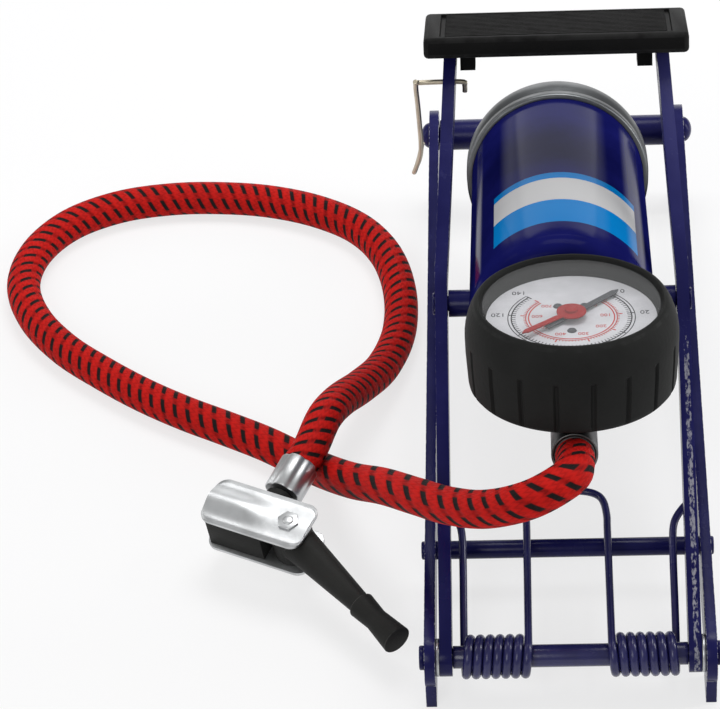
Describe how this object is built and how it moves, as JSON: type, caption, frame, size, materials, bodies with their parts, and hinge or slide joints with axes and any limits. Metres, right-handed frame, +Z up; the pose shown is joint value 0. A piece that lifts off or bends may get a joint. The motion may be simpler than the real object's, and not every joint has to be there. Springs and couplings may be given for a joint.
{
  "type": "foot pump",
  "caption": "Foot-operated air pump: hinged steel frame with pedal and return spring, one cylinder, dial gauge, braided hose and thumb-lock valve chuck.",
  "frame": {"origin": "on the ground under the middle of the base frame", "axes": "+Z up, +Y from the front pivot to the rear pin, the hose lies on the -X side"},
  "size_m": [0.2479, 0.268, 0.1361],
  "materials": {
    "blue_enamel": "gloss navy enamel over sheet steel",
    "bright_plate": "bright zinc and chrome plate",
    "bare_wire": "bare drawn wire",
    "black_plastic": "moulded black plastic",
    "black_rubber": "black rubber boot",
    "dark_metal": "dark plated fitting",
    "dial_white": "printed white dial",
    "clear_lens": "clear flat window",
    "brass_parts": "brass movement",
    "pointer_grey": "grey painted pointer",
    "pointer_red": "red set pointer",
    "red_braid": "red braid with black tracer threads over rubber"
  },
  "bodies": {
    "base": {"base_rail_left": "blue_enamel", "base_rail_right": "blue_enamel", "front_cross_bar": "blue_enamel", "pivot_axle": "blue_enamel", "axle_sleeve": "blue_enamel", "pivot_washers": "bright_plate", "rear_pin": "blue_enamel", "return_spring": "blue_enamel", "hose": "red_braid", "chuck_ferrule": "bright_plate", "chuck_core": "black_plastic", "chuck_bracket": "bright_plate", "chuck_rivet": "bright_plate"},
    "lever": {"lever_rail_left": "blue_enamel", "lever_rail_right": "blue_enamel", "pedal": "black_plastic", "trunnion_pin": "blue_enamel"},
    "cylinder": {"barrel": "blue_enamel", "barrel_ring": "bright_plate", "cylinder_head": "blue_enamel", "outlet_block": "dark_metal", "outlet_collar": "dark_metal", "gauge_housing": "black_rubber", "gauge_dial": "dial_white", "gauge_lens": "clear_lens", "gauge_movement": "brass_parts"},
    "rod": {"rod_crosshead": "blue_enamel", "piston_rod": "bright_plate", "piston": "black_plastic", "piston_seal": "black_rubber"},
    "pointer": {"pressure_pointer": "pointer_grey"},
    "marker": {"marker_pointer": "pointer_red"},
    "hook": {"lock_hook": "bare_wire"},
    "chuck_handle": {"chuck_lever": "black_plastic"}
  },
  "joints": [
    {"name": "lever_hinge", "type": "hinge", "parent": "base", "child": "lever", "pos_m": [0, -0.125, 0.016], "axis": [1, 0, 0], "range_deg": [-11, 14], "stiffness_Nm_per_rad": 6, "springref_deg": 6.3, "deforming": ["return_spring", "hose"]},
    {"name": "cylinder_pivot", "type": "hinge", "parent": "lever", "child": "cylinder", "pos_m": [0, -0.02385, 0.07677], "axis": [1, 0, 0], "range_deg": [-21, 16.5]},
    {"name": "rod_pivot", "type": "hinge", "parent": "base", "child": "rod", "pos_m": [0, 0.125, 0.034], "axis": [1, 0, 0], "range_deg": [-7, 5.5]},
    {"name": "pointer_turn", "type": "hinge", "parent": "cylinder", "child": "pointer", "pos_m": [0.0025, -0.07912, 0.08901], "axis": [0, 0.1742, 0.9847], "range_deg": [-270, 0], "stiffness_Nm_per_rad": 0.002},
    {"name": "marker_turn", "type": "hinge", "parent": "cylinder", "child": "marker", "pos_m": [0.0025, -0.07912, 0.08901], "axis": [0, 0.1742, 0.9847], "range_deg": [-85, 185]},
    {"name": "hook_swing", "type": "hinge", "parent": "lever", "child": "hook", "pos_m": [-0.0477, 0.04301, 0.11695], "axis": [1, 0, 0], "range_deg": [-30, 15]},
    {"name": "chuck_lock", "type": "hinge", "parent": "base", "child": "chuck_handle", "pos_m": [-0.08931, -0.07082, 0.0185], "axis": [-0.0911, -0.1869, 0.9781], "range_deg": [-75, 0]}
  ],
  "couplings": [
    {"joint": "cylinder_pivot", "follows": "lever_hinge", "ratio": -1.48},
    {"joint": "rod_pivot", "follows": "lever_hinge", "ratio": -0.48}
  ]
}
